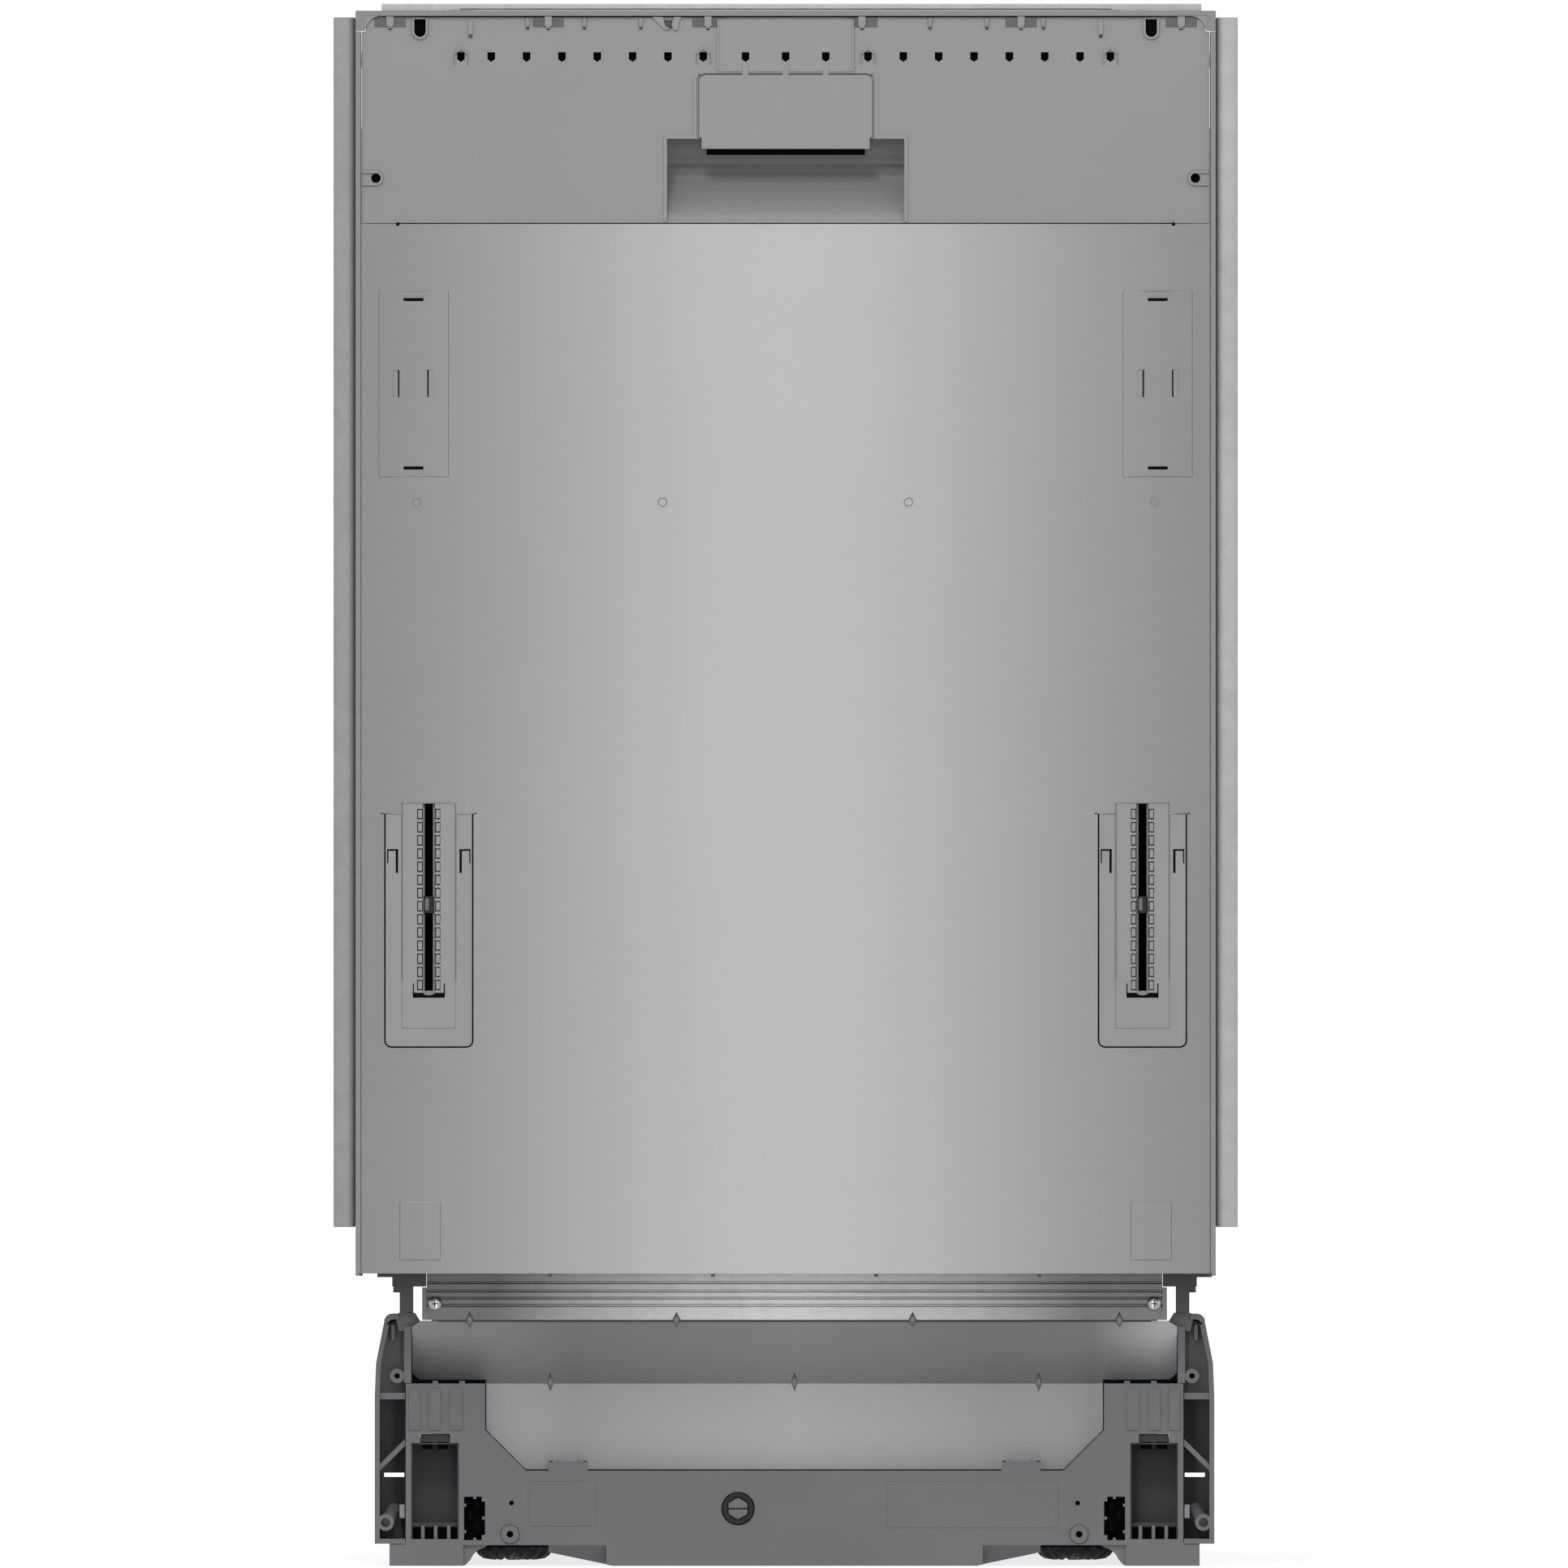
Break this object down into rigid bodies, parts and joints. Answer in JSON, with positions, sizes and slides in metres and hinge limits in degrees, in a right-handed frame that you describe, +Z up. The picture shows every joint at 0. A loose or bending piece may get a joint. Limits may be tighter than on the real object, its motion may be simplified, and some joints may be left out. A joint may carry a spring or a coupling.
{
  "type": "built-in dishwasher",
  "caption": "Slim built-in dishwasher without its furniture door: steel front with grip recess, slotted bracket rails, moulded base, drop-down door, racks and spray arms.",
  "frame": {"origin": "on the floor, under the middle of the body's bounding box", "axes": "+Z up, -Y is the door's front, +X to the right as seen from the front"},
  "size_m": [0.4708, 0.55, 0.815],
  "materials": {
    "brushed_steel": "vertical brushed, satin",
    "stainless": "smooth satin stainless",
    "galvanised": "zinc coated, satin",
    "grey_plastic": "fine moulded, silver grey",
    "pale_plastic": "fine moulded, light grey",
    "base_plastic": "moulded, slate grey",
    "dark_plastic": "moulded, dark grey",
    "black_plastic": "moulded, black",
    "rubber": "matt",
    "white_plastic": "moulded, white",
    "coated_wire": "nylon coated",
    "motor_steel": "plain steel"
  },
  "bodies": {
    "cabinet": {"tub_wrap": "stainless", "tub_back": "stainless", "tub_floor": "stainless", "door_gasket": "rubber", "rear_cover": "galvanised", "top_strip": "galvanised", "lock_striker": "motor_steel", "sump": "dark_plastic", "fine_filter_plate": "stainless", "softener_tank": "white_plastic", "circulation_pump": "motor_steel", "drain_pump": "dark_plastic", "power_socket": "black_plastic", "base_frame": "base_plastic", "base_tray": "base_plastic", "ribbed_crossmember": "galvanised", "toe_plate": "galvanised", "side_cover_left": "galvanised", "trim_strip_left": "galvanised", "rack_rail_left": "stainless", "base_wing_left": "base_plastic", "hinge_bracket_left": "dark_plastic", "side_cover_right": "galvanised", "trim_strip_right": "galvanised", "rack_rail_right": "stainless", "base_wing_right": "base_plastic", "hinge_bracket_right": "dark_plastic"},
    "door": {"door_outer_sheet": "brushed_steel", "door_fascia": "grey_plastic", "handle_cover": "grey_plastic", "control_strip": "grey_plastic", "door_inner_panel": "stainless", "dispenser_body": "pale_plastic", "door_lock": "dark_plastic", "bracket_rail_left": "pale_plastic", "bracket_rail_right": "pale_plastic", "hinge_arm_left": "motor_steel", "hinge_arm_right": "motor_steel"},
    "lower_rack": {"lower_rack": "coated_wire", "cutlery_basket": "pale_plastic"},
    "dispenser_lid": {"dispenser_lid": "pale_plastic"},
    "rinse_aid_cap": {"rinse_aid_cap": "pale_plastic"},
    "power_button": {"power_button": "black_plastic"},
    "start_button": {"start_button": "black_plastic"},
    "rail_clip_left": {"rail_clip_left": "dark_plastic"},
    "rail_clip_right": {"rail_clip_right": "dark_plastic"},
    "tine_row": {"tine_row": "coated_wire"},
    "upper_rack": {"upper_rack": "coated_wire"},
    "upper_spray_arm": {"upper_spray_arm": "coated_wire"},
    "lower_spray_arm": {"lower_spray_arm": "coated_wire"},
    "filter_cylinder": {"filter_cylinder": "white_plastic"},
    "salt_cap": {"salt_cap": "white_plastic"},
    "front_foot_left": {"front_foot_left": "black_plastic"},
    "front_foot_right": {"front_foot_right": "black_plastic"},
    "rear_foot": {"rear_foot": "black_plastic"},
    "rear_foot_shaft": {"rear_foot_shaft": "black_plastic"},
    "rack_wheel_front_left": {"rack_wheel_front_left": "pale_plastic"},
    "rack_wheel_front_right": {"rack_wheel_front_right": "pale_plastic"},
    "rack_wheel_rear_left": {"rack_wheel_rear_left": "pale_plastic"},
    "rack_wheel_rear_right": {"rack_wheel_rear_right": "pale_plastic"}
  },
  "joints": [
    {"name": "door_hinge", "type": "hinge", "parent": "cabinet", "child": "door", "pos_m": [0.00465, -0.24, 0.16], "axis": [1, 0, 0], "range_deg": [0, 90]},
    {"name": "dispenser_lid_slide", "type": "slide", "parent": "door", "child": "dispenser_lid", "axis": [0, 0, -1], "range_m": [0, 0.052]},
    {"name": "rinse_cap_turn", "type": "hinge", "parent": "door", "child": "rinse_aid_cap", "pos_m": [0.044, -0.2317, 0.528], "axis": [0, 1, 0], "range_deg": [0, 90]},
    {"name": "power_button_press", "type": "slide", "parent": "door", "child": "power_button", "axis": [0, 0, -1], "range_m": [0, 0.001], "stiffness_N_per_m": 400},
    {"name": "start_button_press", "type": "slide", "parent": "door", "child": "start_button", "axis": [0, 0, -1], "range_m": [0, 0.001], "stiffness_N_per_m": 400},
    {"name": "rail_clip_left_slide", "type": "slide", "parent": "door", "child": "rail_clip_left", "axis": [0, 0, 1], "range_m": [-0.038, 0.046]},
    {"name": "rail_clip_right_slide", "type": "slide", "parent": "door", "child": "rail_clip_right", "axis": [0, 0, 1], "range_m": [-0.038, 0.046]},
    {"name": "lower_rack_slide", "type": "slide", "parent": "cabinet", "child": "lower_rack", "axis": [0, -1, 0], "range_m": [0, 0.1]},
    {"name": "upper_rack_slide", "type": "slide", "parent": "cabinet", "child": "upper_rack", "axis": [0, -1, 0], "range_m": [0, 0.4]},
    {"name": "tine_row_fold", "type": "hinge", "parent": "lower_rack", "child": "tine_row", "pos_m": [-0.062, 0, 0.21], "axis": [0, 1, 0], "range_deg": [0, 85]},
    {"name": "rack_wheel_front_left_turn", "type": "hinge", "parent": "lower_rack", "child": "rack_wheel_front_left", "pos_m": [-0.195, -0.188, 0.1968], "axis": [1, 0, 0], "continuous": true},
    {"name": "rack_wheel_front_right_turn", "type": "hinge", "parent": "lower_rack", "child": "rack_wheel_front_right", "pos_m": [0.195, -0.188, 0.1968], "axis": [1, 0, 0], "continuous": true},
    {"name": "rack_wheel_rear_left_turn", "type": "hinge", "parent": "lower_rack", "child": "rack_wheel_rear_left", "pos_m": [-0.195, 0.165, 0.1968], "axis": [1, 0, 0], "continuous": true},
    {"name": "rack_wheel_rear_right_turn", "type": "hinge", "parent": "lower_rack", "child": "rack_wheel_rear_right", "pos_m": [0.195, 0.165, 0.1968], "axis": [1, 0, 0], "continuous": true},
    {"name": "upper_spray_arm_turn", "type": "hinge", "parent": "upper_rack", "child": "upper_spray_arm", "pos_m": [0, 0, 0.4255], "axis": [0, 0, 1], "continuous": true},
    {"name": "lower_spray_arm_turn", "type": "hinge", "parent": "cabinet", "child": "lower_spray_arm", "pos_m": [0, -0.01, 0.198], "axis": [0, 0, 1], "continuous": true},
    {"name": "filter_turn", "type": "hinge", "parent": "cabinet", "child": "filter_cylinder", "pos_m": [0.04, -0.066, 0.158], "axis": [0, 0, 1], "range_deg": [0, 90]},
    {"name": "salt_cap_turn", "type": "hinge", "parent": "cabinet", "child": "salt_cap", "pos_m": [-0.09, 0.11, 0.165], "axis": [0, 0, 1], "range_deg": [0, 360]},
    {"name": "front_foot_left_screw", "type": "slide", "parent": "cabinet", "child": "front_foot_left", "axis": [0, 0, -1], "range_m": [0, 0.06]},
    {"name": "front_foot_right_screw", "type": "slide", "parent": "cabinet", "child": "front_foot_right", "axis": [0, 0, -1], "range_m": [0, 0.06]},
    {"name": "rear_foot_shaft_turn", "type": "hinge", "parent": "cabinet", "child": "rear_foot_shaft", "pos_m": [-0.02485, 0, 0.0299], "axis": [0, 1, 0], "range_deg": [0, 4320]},
    {"name": "rear_foot_screw", "type": "slide", "parent": "cabinet", "child": "rear_foot", "axis": [0, 0, -1], "range_m": [0, 0.061]}
  ],
  "couplings": [
    {"joint": "lower_rack_slide", "follows": "door_hinge", "m_per_rad": 0.06},
    {"joint": "upper_rack_slide", "follows": "door_hinge", "m_per_rad": 0.25},
    {"joint": "rear_foot_screw", "follows": "rear_foot_shaft_turn", "m_per_rad": 0.00079577},
    {"joint": "rack_wheel_front_left_turn", "follows": "door_hinge", "ratio": 4.4444},
    {"joint": "rack_wheel_front_right_turn", "follows": "door_hinge", "ratio": 4.4444},
    {"joint": "rack_wheel_rear_left_turn", "follows": "door_hinge", "ratio": 4.4444},
    {"joint": "rack_wheel_rear_right_turn", "follows": "door_hinge", "ratio": 4.4444}
  ]
}
